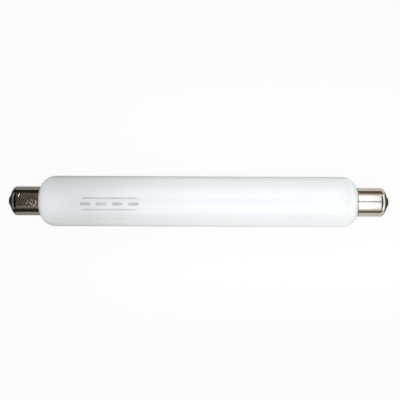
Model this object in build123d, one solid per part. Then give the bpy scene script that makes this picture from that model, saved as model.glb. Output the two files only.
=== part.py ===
"""Double-ended tubular lamp: an opal glass tube with a plain round cap on each end.

Millimetres. The lamp lies along X with its middle at the origin, and every piece is turned about that axis.
Sections are drawn with X along the lamp and Y outwards. The right-hand cap is drawn, and the left-hand one
is its mirror image.
"""

import os
from math import acos, degrees, sqrt

from build123d import *

# Whole lamp
overall_length = 200.0  # from contact tip to contact tip
tube_diameter = 26.5

# Glass tube: its ends are drawn in to a shoulder and a neck, and the neck carries the cap
shoulder_radius = 8.4
neck_end_radius = 2.2
seal_gap = 1.7  # air between the sealed end of the neck and the insulator

# Cap shell: a drawn cup, open towards the glass, its far end turned in round the insulator
shell_diameter = 15.25
shell_wall = 0.3
shell_length = 14.4
rim_radius = 2.55
rim_turned_in = 0.9  # from the outside of the shell to the edge of the opening
mouth_chamfer = 0.12

# Cement: the filling between neck and shell, of which a thin line shows at the mouth of the shell
cement_thickness = 0.7
cement_short = 2.3  # the neck stands this far out of it inside the shell
cement_joint = 0.3  # between the glass and the mouth
cement_recess = 0.12  # below the outside of the shell

# Insulator: black glass run into the end of the shell, with a low cone outside and a collar inside
insulator_cone = 1.2
insulator_bulge = 0.12  # of the side of the cone, from straight
insulator_web = 2.6
collar_length = 1.5
collar_diameter = 6.4

# Contact: a domed plate on the insulator, with an eyelet through it
contact_diameter = 5.6
contact_dome = 0.75  # height of the dome if the bead's seat did not cut it off
contact_edge = 0.15  # straight side of the plate
eyelet_bore = 1.2
eyelet_wall = 0.3

# Solder: a bead seated on the contact, which runs down into the eyelet
bead_diameter = 4.0
bead_height = 0.5
solder_depth = 2.0

# Lead wire, sealed into the end of the neck and soldered at the contact
wire_diameter = 0.6
seal_depth = 2.5
wire_in_bead = 0.25


def dome_radius(base_radius, height):
    """Radius of the sphere that a dome with this base and height is part of."""
    return (base_radius**2 + height**2) / (2 * height)


def dome_height(base_radius, height, at_radius):
    """Height of such a dome above its base, at a distance from its axis."""
    radius = dome_radius(base_radius, height)
    return sqrt(radius**2 - at_radius**2) - (radius - height)


tube_radius = tube_diameter / 2
shell_radius = shell_diameter / 2
shell_bore_radius = shell_radius - shell_wall
neck_radius = shell_bore_radius - cement_thickness
opening_radius = shell_radius - rim_turned_in
contact_radius = contact_diameter / 2
eyelet_bore_radius = eyelet_bore / 2
eyelet_radius = eyelet_bore_radius + eyelet_wall
bead_radius = bead_diameter / 2

# Places along X on the right-hand half, from the tip inwards
tip = overall_length / 2
bead_seat = tip - bead_height
plate_side = bead_seat - dome_height(contact_radius, contact_dome, bead_radius)
plate_back = plate_side - contact_edge
shell_end = plate_back - insulator_cone
insulator_back = shell_end - shell_wall - insulator_web
collar_back = insulator_back - collar_length
shell_mouth = shell_end - shell_length

# The turned-in rim may stop at the opening before it has come all the way round its curve
rim_short = max(rim_radius - rim_turned_in, 0)
rim_edge = shell_end - rim_radius + sqrt(rim_radius**2 - rim_short**2)

# The shoulder is one arc. The cement joint lies between the shell and the place where the arc has come in to
# the radius of the shell, and the arc ends at the neck.
shoulder_centre = tube_radius - shoulder_radius
shell_reach = sqrt(shoulder_radius**2 - (shell_radius - shoulder_centre) ** 2)
shoulder_start = shell_mouth - cement_joint - shell_reach
shoulder_angle = degrees(acos((neck_radius - shoulder_centre) / shoulder_radius))
neck_end = collar_back - seal_gap


def bar(start, end, radius):
    """Section of a plain round bar, from one place along X to another."""
    return Pos(start, 0) * Rectangle(end - start, radius, align=(Align.MIN, Align.MIN))


def plug(start, end, radius, corner_radius):
    """Section of such a bar with a rounded end."""
    section = bar(start, end, radius)
    corner = section.vertices().sort_by_distance((end, radius))[0]
    return fillet(corner, corner_radius)


def turned(section):
    return revolve(section, axis=Axis.X)


def make_lead_wire():
    return turned(bar(neck_end - seal_depth, bead_seat + wire_in_bead, wire_diameter / 2))


def make_opal_tube():
    """One sealed body, with a shoulder and a neck at each end."""
    with BuildSketch() as section:
        with BuildLine():
            shoulder = CenterArc((shoulder_start, shoulder_centre), shoulder_radius, 90, -shoulder_angle)
            neck = Polyline(shoulder @ 1, (neck_end, neck_radius), (neck_end, 0))
            mirror(about=Plane.YZ)
            Line((-shoulder_start, tube_radius), (shoulder_start, tube_radius))
            Line((-neck_end, 0), neck @ 1)
        make_face()
        for end in (neck_end, -neck_end):
            fillet(section.vertices().sort_by_distance((end, neck_radius))[0], neck_end_radius)
    return turned(section.sketch)


def make_cap_shell():
    """Thin cup with its end turned in as far as the opening, and the edge of its mouth broken."""
    outside = plug(shell_mouth, shell_end, shell_radius, rim_radius)
    mouth_corner = outside.vertices().sort_by_distance((shell_mouth, shell_radius))[0]
    outside = chamfer(mouth_corner, mouth_chamfer)
    inside = plug(shell_mouth, shell_end - shell_wall, shell_bore_radius, rim_radius - shell_wall)
    opening = bar(shell_mouth, shell_end, opening_radius)
    return turned(outside - inside - opening)


def make_cement(opal_tube):
    """Fills the shell round the neck, and the joint between the shoulder and the mouth of the shell."""
    filling = bar(shoulder_start, neck_end - cement_short, shell_bore_radius)
    joint = bar(shoulder_start, shell_mouth, shell_radius - cement_recess)
    return turned(filling + joint) - opal_tube


def make_insulator():
    """Fills the turned-in rim, stands out through its opening and is bored for the eyelet."""
    inside = plug(insulator_back, shell_end - shell_wall, shell_bore_radius, rim_radius - shell_wall)
    through = bar(insulator_back, rim_edge, opening_radius)
    with BuildSketch() as cone:
        with BuildLine():
            side = SagittaArc((rim_edge, opening_radius), (plate_back, contact_radius), insulator_bulge)
            Polyline(side @ 1, (plate_back, 0), (rim_edge, 0), side @ 0)
        make_face()
    collar = bar(collar_back, insulator_back, collar_diameter / 2)
    bore = bar(collar_back, plate_back, eyelet_radius)
    return turned(inside + through + cone.sketch + collar - bore)


def make_contact():
    """Domed plate with a flat seat for the bead, and the eyelet that lines the insulator."""
    with BuildSketch() as section:
        with BuildLine():
            side = Polyline((plate_back, 0), (plate_back, contact_radius), (plate_side, contact_radius))
            dome = RadiusArc(side @ 1, (bead_seat, bead_radius), dome_radius(contact_radius, contact_dome))
            Polyline(dome @ 1, (bead_seat, 0), side @ 0)
        make_face()
    plate = section.sketch
    eyelet = bar(collar_back, plate_back, eyelet_radius)
    bore = bar(collar_back, bead_seat, eyelet_bore_radius)
    return turned(plate + eyelet - bore)


def make_solder(lead_wire):
    """Rounded bead and the solder below it in the eyelet, set round the end of the wire."""
    with BuildSketch() as section:
        with BuildLine():
            dome = RadiusArc((bead_seat, bead_radius), (tip, 0), dome_radius(bead_radius, bead_height))
            Polyline(dome @ 1, (bead_seat, 0), dome @ 0)
        make_face()
    below = bar(bead_seat - solder_depth, bead_seat, eyelet_bore_radius)
    return turned(section.sketch + below) - lead_wire


def make_cap(opal_tube):
    """Every piece of the right-hand cap, by name."""
    lead_wire = make_lead_wire()
    return {
        "cap_shell": make_cap_shell(),
        "cement": make_cement(opal_tube),
        "insulator": make_insulator(),
        "contact": make_contact(),
        "solder": make_solder(lead_wire),
        "lead_wire": lead_wire,
    }


def main():
    glass = make_opal_tube()
    cap = make_cap(glass)
    lead_wire = cap["lead_wire"]
    nodes = {"opal_tube": glass - lead_wire - mirror(lead_wire, about=Plane.YZ)}
    for name, piece in cap.items():
        nodes[f"{name}_right"] = piece
        nodes[f"{name}_left"] = mirror(piece, about=Plane.YZ)
    os.makedirs("parts", exist_ok=True)
    for name, node in nodes.items():
        export_step(node, f"parts/{name}.step")


main()
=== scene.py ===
import math

import bmesh
import bpy
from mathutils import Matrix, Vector, noise


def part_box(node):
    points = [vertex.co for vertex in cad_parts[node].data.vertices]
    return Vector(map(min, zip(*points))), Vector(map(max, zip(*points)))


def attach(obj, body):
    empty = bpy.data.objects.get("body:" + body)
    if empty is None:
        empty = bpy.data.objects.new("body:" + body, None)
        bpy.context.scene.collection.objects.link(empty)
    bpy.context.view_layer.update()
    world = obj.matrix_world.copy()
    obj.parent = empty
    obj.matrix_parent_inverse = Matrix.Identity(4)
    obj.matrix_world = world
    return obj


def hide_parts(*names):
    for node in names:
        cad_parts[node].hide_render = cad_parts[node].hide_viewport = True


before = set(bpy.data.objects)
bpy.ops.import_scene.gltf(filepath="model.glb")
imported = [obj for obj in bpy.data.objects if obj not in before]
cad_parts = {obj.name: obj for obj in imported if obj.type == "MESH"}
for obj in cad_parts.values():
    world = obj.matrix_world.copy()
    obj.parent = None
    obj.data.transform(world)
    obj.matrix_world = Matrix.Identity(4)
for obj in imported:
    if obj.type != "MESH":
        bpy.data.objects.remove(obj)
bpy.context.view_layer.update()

mm = 0.001
close = 1e-6  # metres, to pick vertices by their place
sharpAngle = 32  # edges that turn by more degrees than this look sharp
scene = bpy.context.scene
scene.view_settings.view_transform = "Standard"

# places along the lamp, in millimetres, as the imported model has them
shellLow, shellHigh = (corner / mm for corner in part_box("cap_shell_right"))
insulatorLow, insulatorHigh = (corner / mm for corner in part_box("insulator_right"))
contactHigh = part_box("contact_right")[1] / mm
solderLow, solderHigh = (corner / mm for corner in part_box("solder_right"))
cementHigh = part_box("cement_right")[1] / mm
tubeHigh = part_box("opal_tube")[1] / mm
sides = {"left": -1, "right": 1}
print("frame loaded:", len(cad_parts), "nodes")


def toLinear(hexColour):
    parts = [int(hexColour[i:i + 2], 16) / 255 for i in (1, 3, 5)]
    return [c / 12.92 if c <= 0.04045 else ((c + 0.055) / 1.055) ** 2.4 for c in parts] + [1.0]


# settings are a node's own properties or the values of its inputs, and a link comes from a socket
# or from a node's first output
def addNode(tree, kind, settings={}, links={}):
    node = tree.nodes.new(kind)
    for key, value in settings.items():
        if isinstance(key, str) and hasattr(node, key):
            setattr(node, key, value)
        else:
            node.inputs[key].default_value = value
    for key, source in links.items():
        socket = source.outputs[0] if isinstance(source, bpy.types.Node) else source
        tree.links.new(socket, node.inputs[key])
    return node


# how many times a pattern of so many millimetres repeats in a metre
def every(size):
    return 1 / (size * mm)


# a level that goes smoothly from one value to another between two places in millimetres
def grade(places, levels):
    return {"interpolation_type": "SMOOTHSTEP", "From Min": places[0] * mm, "From Max": places[1] * mm,
            "To Min": levels[0], "To Max": levels[1]}


# the same within some millimetres on each side of a place
def step(place, soft, levels):
    return grade((place - soft, place + soft), levels)


def startMaterial(name):
    material = bpy.data.materials.new(name)
    material.use_nodes = True
    tree = material.node_tree
    return material, tree, tree.nodes["Principled BSDF"]


# the path is an outline in the plane of X and Z, with runs and round stretches, which is turned about X
def turnPath(path, steps):
    bm = bmesh.new()
    for kind, x, r, *turn in path:
        if kind == "from":
            pen = bm.verts.new((x * mm, 0, r * mm))
        elif kind == "run":
            pen = bmesh.ops.extrude_vert_indiv(bm, verts=[pen])["verts"][0]
            pen.co = (x * mm, 0, r * mm)
        elif kind == "arc":  # about a centre, in degrees and steps
            swept = bmesh.ops.spin(bm, geom=[pen], cent=(x * mm, 0, r * mm), axis=(0, 1, 0),
                                   angle=math.radians(turn[0]), steps=turn[1])
            pen = [part for part in swept["geom_last"] if isinstance(part, bmesh.types.BMVert)][0]
    bmesh.ops.spin(bm, geom=bm.verts[:] + bm.edges[:], cent=(0, 0, 0), axis=(1, 0, 0),
                   angle=math.tau, steps=steps, use_merge=True)
    bmesh.ops.remove_doubles(bm, verts=bm.verts[:], dist=1e-7)
    return bm


def roundEdges(bm, edges, size):
    bmesh.ops.bevel(bm, geom=edges, offset=size * mm, offset_type="OFFSET", affect="EDGES",
                    segments=3, profile=0.5, material=-1)


def finishPiece(bm, name, node, slot):
    bmesh.ops.recalc_face_normals(bm, faces=bm.faces[:])
    mesh = bpy.data.meshes.new(name)
    bm.to_mesh(mesh)
    bm.free()
    mesh.polygons.foreach_set("use_smooth", [True] * len(mesh.polygons))
    mesh.set_sharp_from_angle(angle=math.radians(sharpAngle))
    mesh.materials.append(finishes[slot])
    piece = bpy.data.objects.new(name, mesh)
    scene.collection.objects.link(piece)
    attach(piece, "root")
    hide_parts(node)


# the pieces of a cap are drawn for the right-hand end, and the left-hand ones are their mirror image
def finishOnSide(bm, side, name, node, slot):
    bmesh.ops.scale(bm, vec=(sides[side], 1, 1), verts=bm.verts[:])
    finishPiece(bm, name + "." + side, node + "_" + side, slot)


# camera straight above the lamp, which lies a little left of and below the middle of the frame
cameraView = {"over": (0.7, 0.84), "height": 575.0, "roll": 0.25, "lens": 98.17, "sensor": 36.0, "near": 10.0}


def setCamera():
    camera = bpy.data.objects.new("camera", bpy.data.cameras.new("camera"))
    camera.data.lens = cameraView["lens"]
    camera.data.sensor_width = cameraView["sensor"]
    camera.data.clip_start = cameraView["near"] * mm
    camera.location = [length * mm for length in (*cameraView["over"], cameraView["height"])]
    camera.rotation_euler = (0, 0, math.radians(cameraView["roll"]))
    scene.collection.objects.link(camera)
    scene.camera = camera


setCamera()
print("camera set")


# the skin of a round piece laid flat: the place along the lamp, and round it
def roundSkin(tree, place, radius):
    split = addNode(tree, "ShaderNodeSeparateXYZ", {}, {0: place})
    angle = addNode(tree, "ShaderNodeMath", {"operation": "ARCTAN2"},
                    {0: split.outputs["Y"], 1: split.outputs["Z"]})
    arc = addNode(tree, "ShaderNodeMath", {"operation": "MULTIPLY", 1: radius * mm}, {0: angle})
    return addNode(tree, "ShaderNodeCombineXYZ", {}, {0: split.outputs["X"], 1: arc})


# how far marks cover a skin, given by place and half size in millimetres: round ones fade from their middle,
# and bars near their edges
def marksOn(tree, skin, marks, shape):
    full = 0.0 if shape == "round" else 0.8  # the share of a mark that is covered fully
    covers = []
    for (x, arc), (long, wide) in marks:
        fit = addNode(tree, "ShaderNodeMapping",
                      {"Location": (-x / long, -arc / wide, 0), "Scale": (every(long), every(wide), 1)},
                      {"Vector": skin})
        if shape == "round":
            length = addNode(tree, "ShaderNodeVectorMath", {"operation": "LENGTH"}, {0: fit})
            away = length.outputs["Value"]
        else:
            flat = addNode(tree, "ShaderNodeVectorMath", {"operation": "ABSOLUTE"}, {0: fit})
            part = addNode(tree, "ShaderNodeSeparateXYZ", {}, {0: flat})
            away = addNode(tree, "ShaderNodeMath", {"operation": "MAXIMUM"},
                           {0: part.outputs["X"], 1: part.outputs["Y"]})
        fading = {"interpolation_type": "SMOOTHSTEP", "From Min": full, "To Min": 1.0, "To Max": 0.0}
        covers.append(addNode(tree, "ShaderNodeMapRange", fading, {"Value": away}))
    cover = covers[0]
    for other in covers[1:]:
        cover = addNode(tree, "ShaderNodeMath", {"operation": "MAXIMUM"}, {0: cover, 1: other})
    return cover


# stamp: plain bars of grey ink fired on the glass and worn in patches, by place along the tube and round it
stamp = {
    "ink": "#8A9294", "patch": 9.0,
    "cover": {"From Min": 0.35, "From Max": 0.6, "To Min": 0.36, "To Max": 0.6},
    "bars": (((-46.0, 1.6), (15.5, 0.4)), ((-58.5, -1.4), (3.0, 0.9)), ((-50.2, -1.4), (3.0, 0.9)),
             ((-41.9, -1.4), (3.0, 0.9)), ((-33.6, -1.4), (3.0, 0.9)), ((-46.0, -4.4), (15.5, 0.4))),
}

# opal glass: soda-lime tube drawn with a white body and fire polished, so it is milky all through,
# has a clear gloss on top and the long soft ripples of drawn glass
opal = {
    "white": {"data_type": "RGBA", 6: toLinear("#EBEFF0"), 7: toLinear("#F2F4F5")}, "cloud": 14.0,
    "milky": 0.25, "milkDepth": 3.0, "ior": 1.52,
    "scorch": "#E2DCCB", "scorched": grade((80.2, 83.2), (0, 0.2)),
    "lineGap": 1.2, "lineLength": 70.0, "lineRelief": {"Strength": 0.3, "Distance": 0.006 * mm},
    "gloss": {"To Min": 0.15, "To Max": 0.24},
    "ripple": 30.0, "rippleRelief": {"Strength": 0.5, "Distance": 0.05 * mm},
}


def opalGlass():
    material, tree, shader = startMaterial("opalGlassDrawnTube")
    place = addNode(tree, "ShaderNodeTexCoord").outputs["Object"]
    skin = roundSkin(tree, place, tubeHigh.z)

    # clouds in the white
    clouds = addNode(tree, "ShaderNodeTexNoise", {"Scale": every(opal["cloud"]), "Detail": 3.0},
                     {"Vector": place})
    body = addNode(tree, "ShaderNodeMix", opal["white"], {0: clouds})

    # the end of the shoulder took the heat of the capping, and is a little warmer and greyer
    split = addNode(tree, "ShaderNodeSeparateXYZ", {}, {0: place})
    along = addNode(tree, "ShaderNodeMath", {"operation": "ABSOLUTE"}, {0: split.outputs["X"]})
    heat = addNode(tree, "ShaderNodeMapRange", opal["scorched"], {"Value": along})
    stained = addNode(tree, "ShaderNodeMix", {"data_type": "RGBA", 7: toLinear(opal["scorch"])},
                      {0: heat, 6: body.outputs[2]})

    # the stamp's ink is thinner in patches
    patches = addNode(tree, "ShaderNodeTexNoise", {"Scale": every(stamp["patch"]), "Detail": 1.0},
                      {"Vector": skin})
    kept = addNode(tree, "ShaderNodeMapRange", stamp["cover"], {"Value": patches})
    bars = marksOn(tree, skin, stamp["bars"], "bar")
    ink = addNode(tree, "ShaderNodeMath", {"operation": "MULTIPLY"}, {0: kept, 1: bars})
    inked = addNode(tree, "ShaderNodeMix", {"data_type": "RGBA", 7: toLinear(stamp["ink"])},
                    {0: ink, 6: stained.outputs[2]})
    tree.links.new(inked.outputs[2], shader.inputs["Base Color"])

    # draw lines run along the tube
    stretch = addNode(tree, "ShaderNodeMapping",
                      {"Scale": (every(opal["lineLength"]), every(opal["lineGap"]), 1)}, {"Vector": skin})
    lines = addNode(tree, "ShaderNodeTexNoise", {"Scale": 1.0, "Detail": 2.0}, {"Vector": stretch})
    gloss = addNode(tree, "ShaderNodeMapRange", opal["gloss"], {"Value": lines})
    tree.links.new(gloss.outputs[0], shader.inputs["Roughness"])

    ripple = addNode(tree, "ShaderNodeTexNoise", {"Scale": every(opal["ripple"]), "Detail": 1.0},
                     {"Vector": place})
    wave = addNode(tree, "ShaderNodeBump", opal["rippleRelief"], {"Height": ripple})
    fine = addNode(tree, "ShaderNodeBump", opal["lineRelief"], {"Height": lines, "Normal": wave})
    tree.links.new(fine.outputs[0], shader.inputs["Normal"])

    shader.inputs["IOR"].default_value = opal["ior"]
    shader.inputs["Subsurface Weight"].default_value = opal["milky"]
    shader.inputs["Subsurface Radius"].default_value = (1.0, 1.0, 1.0)
    shader.inputs["Subsurface Scale"].default_value = opal["milkDepth"] * mm
    return material


# nickel-plated brass: strip drawn to a cup, plated and barrel polished, so it mirrors the room with a warm
# grey tint, with fine marks round it, a few dings and scuffs from the holder. Its marks are given by place
# along the lamp and round the cap and by half size, and scuffs have a slant in degrees.
nickel = {
    "plate": {"data_type": "RGBA", 6: toLinear("#D4CDC0"), 7: toLinear("#B5A793")}, "tarnishPatch": 6.0,
    "tarnish": {"From Min": 0.42, "From Max": 0.72, "To Max": 0.5},
    "polishGap": 0.25, "polishLength": 25.0, "polishRelief": {"Strength": 0.25, "Distance": 0.004 * mm},
    "polish": {"From Min": 0.3, "From Max": 0.7, "To Min": 0.07, "To Max": 0.17},
    "rubbed": (((-87.1, -1.0), (4.8, 3.8)),), "grain": 0.3,
    "grainCover": {"From Min": 0.45, "From Max": 0.65, "To Max": 0.2},
    "scuffs": (((-87.5, -1.2), (1.7, 0.28), -54), ((-86.4, 0.3), (1.1, 0.22), -52),
               ((-85.9, -2.7), (1.1, 0.24), -50), ((-88.9, 0.3), (0.7, 0.22), -56),
               ((-85.0, -1.9), (1.8, 0.24), 58), ((-87.1, 0.5), (0.8, 0.22), 54),
               ((-88.3, -3.1), (0.8, 0.24), 48), ((-86.7, -1.7), (1.0, 0.22), 60),
               ((-89.3, -1.1), (0.8, 0.2), 56)),
    "scuffRough": 0.35, "scuffRelief": {"Strength": 0.6, "Distance": 0.03 * mm, "invert": True},
    "dings": (((-93.1, 3.5), (0.5, 1.1)), ((-93.5, 2.7), (0.45, 0.9)), ((-84.4, -0.3), (0.65, 0.65)),
              ((84.2, 5.4), (0.4, 0.4))),
    "dingRelief": {"Strength": 1.0, "Distance": 0.06 * mm, "invert": True},
}


def nickelPlate():
    material, tree, shader = startMaterial("nickelPlatedBrass")
    place = addNode(tree, "ShaderNodeTexCoord").outputs["Object"]
    skin = roundSkin(tree, place, shellHigh.z)

    # polishing marks go round the cup: real ones are about 0.02 mm apart, drawn further apart to show
    turning = addNode(tree, "ShaderNodeMapping",
                      {"Scale": (every(nickel["polishGap"]), every(nickel["polishLength"]), 1)},
                      {"Vector": skin})
    marks = addNode(tree, "ShaderNodeTexNoise", {"Scale": 1.0, "Detail": 2.0}, {"Vector": turning})

    # scuffs slant across each other where the holder's springs rubbed: real ones are hairs of 0.05 mm,
    # drawn wider to show. Fainter rubbing lies round them, in grains.
    grains = addNode(tree, "ShaderNodeTexNoise", {"Scale": every(nickel["grain"]), "Detail": 2.0},
                     {"Vector": skin})
    grainy = addNode(tree, "ShaderNodeMapRange", nickel["grainCover"], {"Value": grains})
    rubbed = marksOn(tree, skin, nickel["rubbed"], "round")
    scuff = addNode(tree, "ShaderNodeMath", {"operation": "MULTIPLY"}, {0: grainy, 1: rubbed})
    for (x, arc), size, slant in nickel["scuffs"]:
        move = addNode(tree, "ShaderNodeMapping", {"Location": (-x * mm, -arc * mm, 0)}, {"Vector": skin})
        turn = addNode(tree, "ShaderNodeMapping", {"Rotation": (0, 0, math.radians(-slant))},
                       {"Vector": move})
        line = marksOn(tree, turn, (((0, 0), size),), "round")
        scuff = addNode(tree, "ShaderNodeMath", {"operation": "MAXIMUM"}, {0: scuff, 1: line})

    # thin tarnish in patches
    patches = addNode(tree, "ShaderNodeTexNoise", {"Scale": every(nickel["tarnishPatch"]), "Detail": 4.0},
                      {"Vector": place})
    dull = addNode(tree, "ShaderNodeMapRange", nickel["tarnish"], {"Value": patches})
    plate = addNode(tree, "ShaderNodeMix", nickel["plate"], {0: dull})
    tree.links.new(plate.outputs[2], shader.inputs["Base Color"])

    polish = addNode(tree, "ShaderNodeMapRange", nickel["polish"], {"Value": marks})
    worn = addNode(tree, "ShaderNodeMath", {"operation": "MULTIPLY_ADD", 1: nickel["scuffRough"]},
                   {0: scuff, 2: polish})
    tree.links.new(worn.outputs[0], shader.inputs["Roughness"])

    fine = addNode(tree, "ShaderNodeBump", nickel["polishRelief"], {"Height": marks})
    dug = addNode(tree, "ShaderNodeBump", nickel["scuffRelief"], {"Height": scuff, "Normal": fine})
    dings = marksOn(tree, skin, nickel["dings"], "round")
    dented = addNode(tree, "ShaderNodeBump", nickel["dingRelief"], {"Height": dings, "Normal": dug})
    tree.links.new(dented.outputs[0], shader.inputs["Normal"])
    shader.inputs["Metallic"].default_value = 1.0
    return material


# basing cement: resin filled with marble flour, cured hard by baking, so it is a dull cream crust. Its dark
# pits are painted shade of gaps in the joint, and more of them are painted towards the right-hand joint.
crust = {
    "tone": {"data_type": "RGBA", 6: toLinear("#2C261E"), 7: toLinear("#DDD3BC")}, "lump": 2.2,
    "pits": {"From Min": 0.4, "From Max": 0.47},
    "paintedGapShade": {"From Min": -50 * mm, "From Max": 50 * mm, "To Min": 0.09, "To Max": -0.11},
    "grain": 0.2, "rough": {"To Min": 0.75, "To Max": 0.95},
    "relief": {"Strength": 0.6, "Distance": 0.05 * mm},
}


def basingCement():
    material, tree, shader = startMaterial("basingCement")
    place = addNode(tree, "ShaderNodeTexCoord").outputs["Object"]
    grain = addNode(tree, "ShaderNodeTexNoise", {"Scale": every(crust["grain"]), "Detail": 3.0},
                    {"Vector": place})
    lumps = addNode(tree, "ShaderNodeTexNoise", {"Scale": every(crust["lump"]), "Detail": 2.0},
                    {"Vector": place})
    split = addNode(tree, "ShaderNodeSeparateXYZ", {}, {0: place})
    # painted shade: dark pits stand for shadowed gaps in the joint, and a shift along the lamp adds more at
    # the right
    paintedGapShade = addNode(tree, "ShaderNodeMapRange", crust["paintedGapShade"], {"Value": split.outputs["X"]})
    skin = addNode(tree, "ShaderNodeMath", {"operation": "ADD"}, {0: lumps, 1: paintedGapShade})
    pits = addNode(tree, "ShaderNodeMapRange", crust["pits"], {"Value": skin})
    tone = addNode(tree, "ShaderNodeMix", crust["tone"], {0: pits})
    tree.links.new(tone.outputs[2], shader.inputs["Base Color"])
    rough = addNode(tree, "ShaderNodeMapRange", crust["rough"], {"Value": grain})
    tree.links.new(rough.outputs[0], shader.inputs["Roughness"])
    bump = addNode(tree, "ShaderNodeBump", crust["relief"], {"Height": grain})
    tree.links.new(bump.outputs[0], shader.inputs["Normal"])
    return material


# black glass: lead glass pressed hot into the end of the cap, so it is jet black and glossy,
# with the faint ripples and pits of a pressing
jet = {
    "tone": {"data_type": "RGBA", 6: toLinear("#08080A"), 7: toLinear("#131316")},
    "gloss": {"To Min": 0.06, "To Max": 0.16}, "ior": 1.55,
    "ripple": 1.5, "rippleRelief": {"Strength": 0.4, "Distance": 0.05 * mm},
    "pit": 0.7, "hole": {"From Min": 0.05, "From Max": 0.16},
    "pitRelief": {"Strength": 0.5, "Distance": 0.03 * mm},
}


def blackGlass():
    material, tree, shader = startMaterial("blackPressedGlass")
    place = addNode(tree, "ShaderNodeTexCoord").outputs["Object"]
    ripple = addNode(tree, "ShaderNodeTexNoise", {"Scale": every(jet["ripple"]), "Detail": 2.0},
                     {"Vector": place})
    tone = addNode(tree, "ShaderNodeMix", jet["tone"], {0: ripple})
    tree.links.new(tone.outputs[2], shader.inputs["Base Color"])
    gloss = addNode(tree, "ShaderNodeMapRange", jet["gloss"], {"Value": ripple})
    tree.links.new(gloss.outputs[0], shader.inputs["Roughness"])
    pits = addNode(tree, "ShaderNodeTexVoronoi", {"Scale": every(jet["pit"])}, {"Vector": place})
    hole = addNode(tree, "ShaderNodeMapRange", jet["hole"], {"Value": pits.outputs["Distance"]})
    wave = addNode(tree, "ShaderNodeBump", jet["rippleRelief"], {"Height": ripple})
    pitted = addNode(tree, "ShaderNodeBump", jet["pitRelief"], {"Height": hole, "Normal": wave})
    tree.links.new(pitted.outputs[0], shader.inputs["Normal"])
    shader.inputs["IOR"].default_value = jet["ior"]
    return material


# contact brass: pressed plate, a dull dark metal with some colour left
contactBrass = {
    "tone": {"data_type": "RGBA", 6: toLinear("#2E2A24"), 7: toLinear("#5A4F3E")}, "patch": 0.8,
    "rough": {"To Min": 0.3, "To Max": 0.55}, "relief": {"Strength": 0.3, "Distance": 0.01 * mm},
}

# solder: tin and lead set dull, a grey metal with a grainy skin, its colour painted far darker than solder as
# painted shade for the dark surroundings it mirrors
solderDarkWithPaintedShade = {
    "tone": {"data_type": "RGBA", 6: toLinear("#24231F"), 7: toLinear("#45433E")}, "patch": 0.3,
    "rough": {"To Min": 0.3, "To Max": 0.6}, "relief": {"Strength": 0.4, "Distance": 0.03 * mm},
}


# a dull metal, with the same patches in its colour, its roughness and its relief
def dullMetal(name, look):
    material, tree, shader = startMaterial(name)
    place = addNode(tree, "ShaderNodeTexCoord").outputs["Object"]
    patches = addNode(tree, "ShaderNodeTexNoise", {"Scale": every(look["patch"]), "Detail": 4.0},
                      {"Vector": place})
    tone = addNode(tree, "ShaderNodeMix", look["tone"], {0: patches})
    tree.links.new(tone.outputs[2], shader.inputs["Base Color"])
    rough = addNode(tree, "ShaderNodeMapRange", look["rough"], {"Value": patches})
    tree.links.new(rough.outputs[0], shader.inputs["Roughness"])
    bump = addNode(tree, "ShaderNodeBump", look["relief"], {"Height": patches})
    tree.links.new(bump.outputs[0], shader.inputs["Normal"])
    shader.inputs["Metallic"].default_value = 1.0
    return material


# lead wire: copper alloy drawn fine, so it is a dull pinkish metal with lines along it
drawnWire = {"tone": {"data_type": "RGBA", 6: toLinear("#A67B61"), 7: toLinear("#BE957C")},
             "lineLength": 5.0, "lineGap": 0.1, "rough": 0.3}


def leadWire():
    material, tree, shader = startMaterial("drawnCopperAlloyWire")
    place = addNode(tree, "ShaderNodeTexCoord").outputs["Object"]
    thin = every(drawnWire["lineGap"])
    stretch = addNode(tree, "ShaderNodeMapping", {"Scale": (every(drawnWire["lineLength"]), thin, thin)},
                      {"Vector": place})
    lines = addNode(tree, "ShaderNodeTexNoise", {"Scale": 1.0, "Detail": 2.0}, {"Vector": stretch})
    tone = addNode(tree, "ShaderNodeMix", drawnWire["tone"], {0: lines})
    tree.links.new(tone.outputs[2], shader.inputs["Base Color"])
    shader.inputs["Metallic"].default_value = 1.0
    shader.inputs["Roughness"].default_value = drawnWire["rough"]
    return material


finishes = {
    "opal_glass": opalGlass(),
    "nickel_plated_brass": nickelPlate(),
    "basing_cement": basingCement(),
    "black_glass": blackGlass(),
    "contact_brass": dullMetal("darkContactBrass", contactBrass),
    "solder": dullMetal("solderDarkWithPaintedShade", solderDarkWithPaintedShade),
    "lead_wire": leadWire(),
}
print("materials made:", len(finishes))

# glass tube: a straight run, a round shoulder and a sealed neck, drawn for one half and mirrored
tube = {"shoulder": 8.4, "neck": 6.625, "neckEnd": 2.2, "joint": 0.3, "hold": 0.3, "steps": 160}


def makeOpalTube():
    radius = tubeHigh.z
    centre = radius - tube["shoulder"]
    reach = math.sqrt(tube["shoulder"] ** 2 - (shellHigh.z - centre) ** 2)
    start = shellLow.x - tube["joint"] - reach
    bend = math.degrees(math.acos((tube["neck"] - centre) / tube["shoulder"]))
    neckStart = start + tube["shoulder"] * math.sin(math.radians(bend))
    path = [
        ("from", 0, radius),
        ("run", start - tube["hold"], radius),
        ("run", start, radius),
        ("arc", start, centre, bend, 40),
        ("run", neckStart + tube["hold"], tube["neck"]),
        ("run", tubeHigh.x - tube["neckEnd"], tube["neck"]),
        ("arc", tubeHigh.x - tube["neckEnd"], tube["neck"] - tube["neckEnd"], 90, 6),
        ("run", tubeHigh.x, 0),
    ]
    bm = turnPath(path, tube["steps"])
    bmesh.ops.mirror(bm, geom=bm.verts[:] + bm.edges[:] + bm.faces[:], axis="X", merge_dist=1e-6)
    finishPiece(bm, "opalTube", "opal_tube", "opal_glass")


makeOpalTube()
print("glass tube made")

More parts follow.
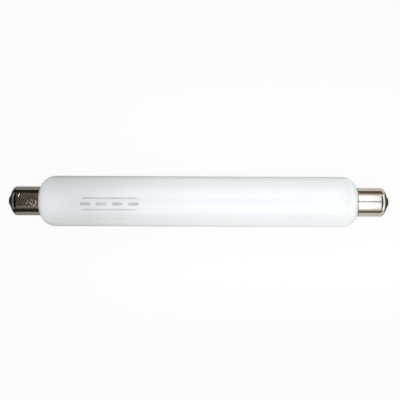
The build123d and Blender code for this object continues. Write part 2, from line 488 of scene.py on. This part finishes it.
# cap shell: thin cup with a rounded mouth edge, its far end turned in round the black glass
shell = {"wall": 0.3, "rim": 2.55, "turnedIn": 0.9, "mouthRound": 0.12, "lipRound": 0.08, "hold": 0.04,
         "steps": 144}
bore = shellHigh.z - shell["wall"]
opening = shellHigh.z - shell["turnedIn"]
rimHub = shellHigh.z - shell["rim"]  # the curve of the rim is drawn from here
rimStart = shellHigh.x - math.sqrt(shell["rim"] ** 2 - (opening - rimHub) ** 2)
rimInside = shell["rim"] - shell["wall"]
insideTurn = math.degrees(math.acos((opening - rimHub) / rimInside))


def makeCapShell(side):
    outer = shellHigh.z
    outerTurn = math.degrees(math.acos((opening - rimHub) / shell["rim"]))
    soft = shell["mouthRound"]
    path = [
        ("from", shellLow.x, bore),
        ("run", shellLow.x, outer - soft),
        ("arc", shellLow.x + soft, outer - soft, 90, 4),
        ("run", shellLow.x + soft + shell["hold"], outer),
        ("run", rimStart - shell["hold"], outer),
        ("run", rimStart, outer),
        ("arc", rimStart, rimHub, outerTurn, 24),
        ("run", rimStart + rimInside * math.sin(math.radians(insideTurn)), opening),
        ("arc", rimStart, rimHub, -insideTurn, 10),
        ("run", shellLow.x, bore),
    ]
    bm = turnPath(path, shell["steps"])
    lip = [e for e in bm.edges if all(abs(v.co.x - shellHigh.x * mm) < close for v in e.verts)]
    roundEdges(bm, lip, shell["lipRound"])
    finishOnSide(bm, side, "capShell", "cap_shell", "nickel_plated_brass")


# cement: a crust in the joint between glass and cap, uneven where it was wiped off
cement = {"foot": 0.24, "back": 0.17, "front": 0.06, "low": 0.12, "high": 0.1, "tuck": 0.05, "clear": 0.005,
          "neck": 6.63, "uneven": 0.09, "lump": 1.6, "seed": 11, "steps": 200}


def makeCement(side):
    mouth = shellLow.x
    path = [
        ("from", mouth - cement["foot"], bore + cement["high"]),
        ("run", mouth - cement["back"], shellHigh.z - cement["low"]),
        ("run", mouth - cement["front"], shellHigh.z - cement["high"]),
        ("run", mouth + cement["tuck"] / 2, bore + cement["tuck"]),
        ("run", mouth + cement["tuck"], bore - cement["clear"]),
        ("run", cementHigh.x, bore - cement["clear"]),
        ("run", cementHigh.x, cement["neck"]),
        ("run", mouth - cement["clear"], cement["neck"]),
        ("run", mouth - cement["foot"], bore + cement["high"]),
    ]
    bm = turnPath(path, cement["steps"])
    ownLumps = Vector((sides[side] * cement["seed"], 0, 0))
    for v in bm.verts:
        if v.co.x < mouth * mm and Vector((v.co.y, v.co.z)).length > bore * mm:
            lump = noise.noise(v.co / (cement["lump"] * mm) + ownLumps)
            v.co.yz *= 1 + lump * cement["uneven"] / shellHigh.z
    finishOnSide(bm, side, "cement", "cement", "basing_cement")


# insulator: black glass that fills the end of the cap, swells out of the rim and creeps up round the contact
insulator = {"collarLength": 1.5, "collar": 3.2, "eyelet": 0.9, "sunk": 0.13, "swell": 0.2, "bulge": 0.22,
             "creep": 0.35, "creepTurn": 62, "steps": 128}


def makeInsulator(side):
    web = insulatorLow.x + insulator["collarLength"]
    sunk = shellHigh.x - insulator["sunk"]
    swell, bulge, creep = insulator["swell"], insulator["bulge"], insulator["creep"]
    rise = math.atan2(insulatorHigh.x - shellHigh.x, opening - contactHigh.z)  # slope of the cone

    # the side of the cone is one arc, from the swelling at the rim to where it starts to creep up
    top = Vector((sunk + swell * math.cos(rise), opening - swell + swell * math.sin(rise)))
    foot = Vector((insulatorHigh.x - creep * math.tan(rise), contactHigh.z + creep))
    chord = foot - top
    outward = Vector((-chord.y, chord.x)).normalized()
    ball = (chord.length ** 2 / 4 + bulge ** 2) / (2 * bulge)
    hub = (top + foot) / 2 - outward * (ball - bulge)
    creepX = foot.x + creep * math.cos(rise)
    creepR = foot.y + creep * math.sin(rise)
    path = [
        ("from", web, bore),
        ("run", rimStart, bore),
        ("arc", rimStart, rimHub, insideTurn, 8),
        ("run", sunk, opening),
        ("arc", sunk, opening - swell, 90 - math.degrees(rise), 6),
        ("arc", hub.x, hub.y, math.degrees(2 * math.asin(chord.length / 2 / ball)), 10),
        ("arc", creepX, creepR, -insulator["creepTurn"], 5),
        ("run", insulatorHigh.x, insulator["eyelet"]),
        ("run", insulatorLow.x, insulator["eyelet"]),
        ("run", insulatorLow.x, insulator["collar"]),
        ("run", web, insulator["collar"]),
        ("run", web, bore),
    ]
    bm = turnPath(path, insulator["steps"])
    finishOnSide(bm, side, "insulator", "insulator", "black_glass")


# contact: plate with a rounded edge that flares up to the solder, and the eyelet below it
contact = {"plate": 0.15, "edgeRound": 0.07, "eyelet": 0.9, "bore": 0.6, "steps": 96}


def makeContact(side):
    back = insulatorHigh.x
    face = back + contact["plate"]
    radius = contactHigh.z
    flare = contactHigh.x - face
    flareHub = solderHigh.z + flare
    path = [
        ("from", insulatorLow.x, contact["bore"]),
        ("run", insulatorLow.x, contact["eyelet"]),
        ("run", back, contact["eyelet"]),
        ("run", back, radius),
        ("run", face, radius),
        ("run", face, flareHub),
        ("arc", contactHigh.x, flareHub, -90, 8),
        ("run", contactHigh.x, contact["bore"]),
        ("run", insulatorLow.x, contact["bore"]),
    ]
    bm = turnPath(path, contact["steps"])
    rim = [e for e in bm.edges if all(abs(math.hypot(v.co.y, v.co.z) - radius * mm) < close
                                      and abs(v.co.x - face * mm) < close for v in e.verts)]
    roundEdges(bm, rim, contact["edgeRound"])
    finishOnSide(bm, side, "contact", "contact", "contact_brass")


# solder: a lumpy bead on the contact, with a round edge, and the cut end of the wire just showing on its
# flat crown
solder = {"bore": 0.6, "edge": 0.3, "wire": 0.3, "stub": 0.05, "wireRound": 0.03, "wireFoot": 0.1,
          "uneven": 0.1, "lump": 1.1, "smoothBy": 0.05, "fade": 0.4, "seed": (5, 3), "steps": 72}


def makeSolder(side):
    radius = solderHigh.z
    height = solderHigh.x - contactHigh.x
    edge, wire = solder["edge"], solder["wire"]
    edgeHub = radius - edge
    ball = (height ** 2 + edgeHub ** 2 - edge ** 2) / (2 * (height - edge))  # meets the edge smoothly
    crown = math.degrees(math.asin(edgeHub / (ball - edge)))
    turn = crown - math.degrees(math.asin((wire + solder["wireFoot"]) / ball))
    path = [
        ("from", solderLow.x, 0),
        ("run", solderLow.x, solder["bore"]),
        ("run", contactHigh.x, solder["bore"]),
        ("run", contactHigh.x, radius),
        ("arc", contactHigh.x, edgeHub, 90 - crown, 6),
        ("arc", solderHigh.x - ball, 0, turn, 10),
        ("run", solderHigh.x - solder["stub"], wire),
        ("run", solderHigh.x, wire - solder["wireRound"]),
        ("run", solderHigh.x, 0),
    ]
    bm = turnPath(path, solder["steps"])
    ownLumps = Vector((sides[side] * solder["seed"][0], solder["seed"][1], 0))
    for v in bm.verts:
        away = math.hypot(v.co.y, v.co.z) / mm
        if v.co.x > contactHigh.x * mm + close and away > wire + solder["smoothBy"]:
            lump = noise.noise(v.co / (solder["lump"] * mm) + ownLumps)
            share = min(1, (radius - away) / solder["fade"])
            v.co.x -= (0.5 + 0.5 * lump) * solder["uneven"] * mm * share
    finishOnSide(bm, side, "solder", "solder", "solder")


for side in sides:
    makeCapShell(side)
    makeCement(side)
    makeInsulator(side)
    makeContact(side)
    makeSolder(side)
    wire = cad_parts["lead_wire_" + side]  # inside the cap, its shape stays
    wire.data.materials.clear()
    wire.data.materials.append(finishes["lead_wire"])
print("caps made")


# 1 for the rays of the camera, of mirrors and of clear glass, and 0 for light that scatters
def raysThatSee(tree):
    rays = addNode(tree, "ShaderNodeLightPath")
    direct = addNode(tree, "ShaderNodeMath", {"operation": "ADD"},
                     {0: rays.outputs["Is Camera Ray"], 1: rays.outputs["Is Glossy Ray"]})
    return addNode(tree, "ShaderNodeMath", {"operation": "ADD", "use_clamp": True},
                   {0: direct, 1: rays.outputs["Is Transmission Ray"]})


# floor: paper that the tube lies on. It reads white, with a faint shadow, and throws less light on the tube
# than white paper would.
floor = {"radius": 4000.0, "paper": "#C4C4C2", "white": "#FAFAFA", "lift": 0.9, "rough": 0.9}


def makeFloor():
    bm = bmesh.new()
    bmesh.ops.create_circle(bm, cap_ends=True, segments=96, radius=floor["radius"] * mm)
    bmesh.ops.translate(bm, verts=bm.verts[:], vec=(0, 0, -tubeHigh.z * mm))
    mesh = bpy.data.meshes.new("floor")
    bm.to_mesh(mesh)
    bm.free()
    material, tree, shader = startMaterial("whitePaperFloor")
    rays = raysThatSee(tree)
    tone = addNode(tree, "ShaderNodeMix",
                   {"data_type": "RGBA", 6: toLinear(floor["paper"]), 7: toLinear(floor["white"])}, {0: rays})
    tree.links.new(tone.outputs[2], shader.inputs["Base Color"])
    shader.inputs["Roughness"].default_value = floor["rough"]
    shader.inputs["Specular IOR Level"].default_value = 0.0
    lifted = addNode(tree, "ShaderNodeMath", {"operation": "MULTIPLY", 1: floor["lift"]}, {0: rays})
    white = addNode(tree, "ShaderNodeEmission", {"Color": (1, 1, 1, 1), "Strength": 1.0})
    mixed = addNode(tree, "ShaderNodeMixShader", {}, {0: lifted, 1: shader, 2: white})
    tree.links.new(mixed.outputs[0], tree.nodes["Material Output"].inputs["Surface"])
    mesh.materials.append(material)
    sheet = bpy.data.objects.new("floor", mesh)
    scene.collection.objects.link(sheet)


makeFloor()

# lamps: a long panel along each side that stops short of the left end, a small one for that end and one for
# each shoulder. Metal and gloss don't show them, because the mirror room has its own.
lamps = {
    "frontPanel": {"at": (55, -46, 34), "aim": (55, 0, 4), "size": (200, 40), "watts": 0.027},
    "backPanel": {"at": (55, 37, 47), "aim": (55, 0, 4), "size": (200, 40), "watts": 0.0261},
    "endLamp": {"at": (-220, 0, 45), "aim": (-80, 0, 5), "size": (60, 120), "watts": 0.055},
    "leftShoulder": {"at": (-79, -8, 28), "aim": (-79, -2, 0), "size": (8, 30), "watts": 0.00055},
    "rightShoulder": {"at": (96, -7, 22), "aim": (80, -1, 6), "size": (8, 20), "watts": 0.0006},
}
fillLight = 0.65  # from all round


def makeLamps():
    for name, lamp in lamps.items():
        light = bpy.data.lights.new(name, "AREA")
        light.shape = "RECTANGLE"
        light.size, light.size_y = (length * mm for length in lamp["size"])
        light.energy = lamp["watts"]
        panel = bpy.data.objects.new(name, light)
        panel.location = Vector(lamp["at"]) * mm
        facing = Vector(lamp["aim"]) - Vector(lamp["at"])
        panel.rotation_euler = facing.to_track_quat("-Z", "Y").to_euler()
        panel.visible_camera = False
        panel.visible_glossy = False
        scene.collection.objects.link(panel)

    world = bpy.data.worlds.new("studio")
    world.use_nodes = True
    scene.world = world
    tree = world.node_tree
    level = addNode(tree, "ShaderNodeMapRange", {"To Min": fillLight, "To Max": 1.0},
                    {"Value": raysThatSee(tree)})
    tree.nodes["Background"].inputs["Color"].default_value = (1, 1, 1, 1)
    tree.links.new(level.outputs[0], tree.nodes["Background"].inputs["Strength"])


makeLamps()

# mirror room: what metal and gloss show, on the inside of a box that only their rays see
room = {"reach": 720.0, "roof": 450.0, "overFloor": 0.05, "fan": 568.0}


def startSurface(name):
    material, tree, shader = startMaterial(name)
    place = addNode(tree, "ShaderNodeTexCoord").outputs["Object"]
    split = addNode(tree, "ShaderNodeSeparateXYZ", {}, {0: place})
    glow = addNode(tree, "ShaderNodeEmission")
    tree.links.new(glow.outputs[0], tree.nodes["Material Output"].inputs["Surface"])
    tree.nodes.remove(shader)
    return material, tree, split, glow


# the place along the lamp that mirrors a place on the walls to the camera, so that edges which fan out on
# the walls lie straight across the caps
def mirroredAt(tree, split):
    across = addNode(tree, "ShaderNodeCombineXYZ", {}, {"Y": split.outputs["Y"], "Z": split.outputs["Z"]})
    away = addNode(tree, "ShaderNodeVectorMath", {"operation": "LENGTH"}, {0: across})
    spread = addNode(tree, "ShaderNodeMath", {"operation": "MULTIPLY_ADD", 1: every(room["fan"]), 2: 1.0},
                     {0: away.outputs["Value"]})
    return addNode(tree, "ShaderNodeMath", {"operation": "DIVIDE"}, {0: split.outputs["X"], 1: spread})


# roof: a soft box that is hot in the middle and has a slit for the camera, and a dim part left of it with two
# weak strips of light. boxLeft, boxRight and gloomLeft are places along the lamp.
roof = {
    "boxLeft": -52.0, "boxRight": 96.0, "boxEdge": 2.5, "cloth": "#F0F5FF", "hot": 2.4, "hotTo": 350.0,
    "cool": 1.6, "coolFrom": 720.0, "slitAt": 40.0, "slit": 90.0, "slitSoft": 25.0, "slitLevel": 0.32,
    "gloom": "#FFEDDC", "gloomLeft": -98.0, "gloomEdge": 2.0, "gloomLevel": 0.11,
    "gloomFrom": 200.0, "gloomTo": 700.0, "gloomOut": 0.85,
    "strips": ((-550.0, 100.0, 1.7), (560.0, 110.0, 0.5)),
}


def roomRoof():
    material, tree, split, glow = startSurface("roofCloth")
    along = mirroredAt(tree, split)
    across = split.outputs["Y"]
    enter = addNode(tree, "ShaderNodeMapRange", step(roof["boxLeft"], roof["boxEdge"], (0, 1)),
                    {"Value": along})
    leave = addNode(tree, "ShaderNodeMapRange", step(roof["boxRight"], roof["boxEdge"], (1, 0)),
                    {"Value": along})
    lit = addNode(tree, "ShaderNodeMath", {"operation": "MULTIPLY"}, {0: enter, 1: leave})
    away = addNode(tree, "ShaderNodeMath", {"operation": "ABSOLUTE"}, {0: across})
    cloth = addNode(tree, "ShaderNodeMapRange",
                    grade((roof["hotTo"], roof["coolFrom"]), (roof["hot"], roof["cool"])), {"Value": away})
    cut = addNode(tree, "ShaderNodeMath", {"operation": "SUBTRACT", 1: roof["slitAt"] * mm}, {0: across})
    cut = addNode(tree, "ShaderNodeMath", {"operation": "ABSOLUTE"}, {0: cut})
    slit = addNode(tree, "ShaderNodeMapRange",
                   step(roof["slit"] / 2, roof["slitSoft"], (roof["slitLevel"], 1)), {"Value": cut})
    box = addNode(tree, "ShaderNodeMath", {"operation": "MULTIPLY"}, {0: lit, 1: cloth})
    box = addNode(tree, "ShaderNodeMath", {"operation": "MULTIPLY"}, {0: box, 1: slit})

    gloom = addNode(tree, "ShaderNodeMapRange",
                    step(roof["gloomLeft"], roof["gloomEdge"], (0, roof["gloomLevel"])), {"Value": along})
    shade = addNode(tree, "ShaderNodeMapRange",
                    grade((roof["gloomFrom"], roof["gloomTo"]), (1, roof["gloomOut"])), {"Value": away})
    for middle, wide, bright in roof["strips"]:
        off = addNode(tree, "ShaderNodeMath", {"operation": "SUBTRACT", 1: middle * mm}, {0: across})
        off = addNode(tree, "ShaderNodeMath", {"operation": "ABSOLUTE"}, {0: off})
        strip = addNode(tree, "ShaderNodeMapRange", grade((wide, 2 * wide), (bright, 0)), {"Value": off})
        shade = addNode(tree, "ShaderNodeMath", {"operation": "ADD"}, {0: shade, 1: strip})
    gloom = addNode(tree, "ShaderNodeMath", {"operation": "MULTIPLY"}, {0: gloom, 1: shade})
    level = addNode(tree, "ShaderNodeMath", {"operation": "MAXIMUM"}, {0: box, 1: gloom})
    tint = addNode(tree, "ShaderNodeMix",
                   {"data_type": "RGBA", 6: toLinear(roof["gloom"]), 7: toLinear(roof["cloth"])}, {0: enter})
    tree.links.new(tint.outputs[2], glow.inputs["Color"])
    tree.links.new(level.outputs[0], glow.inputs["Strength"])
    return material


# side walls: brightest at the top, and darker towards the left
sideWall = {"tint": "#FFF5E6", "foot": 0.09, "steep": 2.0, "left": 0.1, "within": 84.0}


def roomSide():
    material, tree, split, glow = startSurface("sideWall")
    high = addNode(tree, "ShaderNodeMath",
                   {"operation": "DIVIDE", 1: room["roof"] * mm, "use_clamp": True}, {0: split.outputs["Z"]})
    rise = addNode(tree, "ShaderNodeMath", {"operation": "POWER", 1: sideWall["steep"]}, {0: high})
    level = addNode(tree, "ShaderNodeMath", {"operation": "ADD", 1: sideWall["foot"]}, {0: rise})
    along = addNode(tree, "ShaderNodeMapRange", step(0, sideWall["within"], (sideWall["left"], 1)),
                    {"Value": mirroredAt(tree, split)})
    level = addNode(tree, "ShaderNodeMath", {"operation": "MULTIPLY"}, {0: level, 1: along})
    glow.inputs["Color"].default_value = toLinear(sideWall["tint"])
    tree.links.new(level.outputs[0], glow.inputs["Strength"])
    return material


# end walls: lit up to some height, well on the right and weakly on the left
endWall = {"window": 1.7, "windowTop": 420.0, "dusk": 0.28, "duskTop": 250.0, "topEdge": 25.0,
           "within": 200.0}


def roomEnd():
    material, tree, split, glow = startSurface("endWall")
    level = addNode(tree, "ShaderNodeMapRange",
                    step(0, endWall["within"], (endWall["dusk"], endWall["window"])),
                    {"Value": split.outputs["X"]})
    top = addNode(tree, "ShaderNodeMapRange",
                  step(0, endWall["within"], (endWall["duskTop"] * mm, endWall["windowTop"] * mm)),
                  {"Value": split.outputs["X"]})
    over = addNode(tree, "ShaderNodeMath", {"operation": "SUBTRACT"}, {0: split.outputs["Z"], 1: top})
    lit = addNode(tree, "ShaderNodeMapRange", step(0, endWall["topEdge"], (1, 0)), {"Value": over})
    level = addNode(tree, "ShaderNodeMath", {"operation": "MULTIPLY"}, {0: level, 1: lit})
    tree.links.new(level.outputs[0], glow.inputs["Strength"])
    return material


# ground: a grey card on the left of the floor, and the floor itself beyond its soft edge. Dark are the places
# past the left end of the lamp, past the long edges of the paper, which are askew, and in the lamp's shade.
ground = {
    "card": 0.33, "cardFrom": -85.0, "cardTo": 200.0, "darkLeft": 0.014, "darkRight": 0.09, "within": 84.0,
    "endDark": -114.0, "endEdge": 2.0, "endFrom": 97.0, "endSpread": 0.7, "endSoft": 5.0,
    "paperEdges": ((1, 104.5, -0.172), (-1, 215.0, 0.722)), "paperSoft": 4.0,
    "shadeFrom": 97.0, "shadeTo": 119.0, "shadeEdge": 2.0, "shadeWide": 13.0, "shadeSoft": 3.0,
    "behind": 60.0, "behindSoft": 15.0, "behindStart": 4.0, "behindEnd": 82.0, "behindEdge": 2.0,
    "behindDark": 0.8,
}


def roomGround():
    material, tree, split, glow = startSurface("greyCard")
    x, y = split.outputs["X"], split.outputs["Y"]
    fade = addNode(tree, "ShaderNodeMapRange", grade((ground["cardFrom"], ground["cardTo"]), (1, 0)),
                   {"Value": x})
    along = addNode(tree, "ShaderNodeMath", {"operation": "ABSOLUTE"}, {0: x})
    across = addNode(tree, "ShaderNodeMath", {"operation": "ABSOLUTE"}, {0: y})

    # past the left end, on both sides of a fan that starts there
    past = addNode(tree, "ShaderNodeMapRange", step(ground["endDark"], ground["endEdge"], (1, 0)),
                   {"Value": x})
    spread = ground["endSpread"]
    fan = addNode(tree, "ShaderNodeMath",
                  {"operation": "MULTIPLY_ADD", 1: -spread, 2: spread * ground["endFrom"] * mm}, {0: along})
    beside = addNode(tree, "ShaderNodeMath", {"operation": "ADD"}, {0: across, 1: fan})
    beside = addNode(tree, "ShaderNodeMapRange", step(0, ground["endSoft"], (0, 1)), {"Value": beside})
    dark = addNode(tree, "ShaderNodeMath", {"operation": "MULTIPLY"}, {0: past, 1: beside})

    # past the edges of the paper
    for toward, edge, askew in ground["paperEdges"]:
        line = addNode(tree, "ShaderNodeMath", {"operation": "MULTIPLY_ADD", 1: -askew, 2: -edge * mm},
                       {0: x})
        over = addNode(tree, "ShaderNodeMath", {"operation": "MULTIPLY_ADD", 1: toward}, {0: y, 2: line})
        outside = addNode(tree, "ShaderNodeMapRange", step(0, ground["paperSoft"], (0, 1)), {"Value": over})
        dark = addNode(tree, "ShaderNodeMath", {"operation": "MAXIMUM"}, {0: dark, 1: outside})

    # shade close by each end of the lamp
    rise = addNode(tree, "ShaderNodeMapRange", step(ground["shadeFrom"], ground["shadeEdge"], (0, 1)),
                   {"Value": along})
    fall = addNode(tree, "ShaderNodeMapRange", step(ground["shadeTo"], ground["shadeEdge"], (1, 0)),
                   {"Value": along})
    narrow = addNode(tree, "ShaderNodeMapRange", step(ground["shadeWide"], ground["shadeSoft"], (1, 0)),
                     {"Value": across})
    shade = addNode(tree, "ShaderNodeMath", {"operation": "MULTIPLY"}, {0: rise, 1: fall})
    shade = addNode(tree, "ShaderNodeMath", {"operation": "MULTIPLY"}, {0: shade, 1: narrow})
    dark = addNode(tree, "ShaderNodeMath", {"operation": "MAXIMUM"}, {0: dark, 1: shade})

    # shade of the tube along the floor behind it, deeper to the left
    near = addNode(tree, "ShaderNodeMapRange", step(0, ground["behindStart"], (0, 1)), {"Value": y})
    far = addNode(tree, "ShaderNodeMapRange", step(ground["behind"], ground["behindSoft"], (1, 0)),
                  {"Value": y})
    beneath = addNode(tree, "ShaderNodeMapRange", step(ground["behindEnd"], ground["behindEdge"], (1, 0)),
                      {"Value": along})
    behind = addNode(tree, "ShaderNodeMath", {"operation": "MULTIPLY"}, {0: near, 1: far})
    behind = addNode(tree, "ShaderNodeMath", {"operation": "MULTIPLY"}, {0: behind, 1: beneath})
    depth = addNode(tree, "ShaderNodeMath", {"operation": "MULTIPLY", 1: ground["behindDark"]}, {0: fade})
    depth = addNode(tree, "ShaderNodeMath", {"operation": "MULTIPLY"}, {0: depth, 1: behind})
    dark = addNode(tree, "ShaderNodeMath", {"operation": "MAXIMUM"}, {0: dark, 1: depth})

    black = addNode(tree, "ShaderNodeMapRange",
                    step(0, ground["within"], (ground["darkLeft"], ground["darkRight"])), {"Value": x})
    level = addNode(tree, "ShaderNodeMapRange", {"To Min": ground["card"]}, {"Value": dark, "To Max": black})
    tree.links.new(level.outputs[0], glow.inputs["Strength"])
    cover = addNode(tree, "ShaderNodeMath", {"operation": "MAXIMUM"}, {0: fade, 1: dark})
    cover = addNode(tree, "ShaderNodeMath", {"operation": "MAXIMUM"}, {0: cover, 1: behind})
    clear = addNode(tree, "ShaderNodeBsdfTransparent")
    mixed = addNode(tree, "ShaderNodeMixShader", {}, {0: cover, 1: clear, 2: glow})
    tree.links.new(mixed.outputs[0], tree.nodes["Material Output"].inputs["Surface"])
    return material


def makeMirrorRoom():
    bm = bmesh.new()
    bmesh.ops.create_cube(bm, size=1.0)
    bottom = -tubeHigh.z + room["overFloor"]
    wide = 2 * room["reach"] * mm
    bmesh.ops.scale(bm, verts=bm.verts[:], vec=(wide, wide, (room["roof"] - bottom) * mm))
    bmesh.ops.translate(bm, verts=bm.verts[:], vec=(0, 0, (room["roof"] + bottom) / 2 * mm))
    bm.normal_update()
    for face in bm.faces:
        facing = [abs(face.normal.y), face.normal.z, abs(face.normal.x), -face.normal.z]
        face.material_index = facing.index(max(facing))
    mesh = bpy.data.meshes.new("mirrorRoom")
    bm.to_mesh(mesh)
    bm.free()
    for drawSurface in (roomSide, roomRoof, roomEnd, roomGround):
        mesh.materials.append(drawSurface())
    walls = bpy.data.objects.new("mirrorRoom", mesh)
    walls.visible_camera = False
    walls.visible_diffuse = False
    walls.visible_transmission = False
    walls.visible_volume_scatter = False
    walls.visible_shadow = False
    scene.collection.objects.link(walls)


makeMirrorRoom()
print("studio lit")
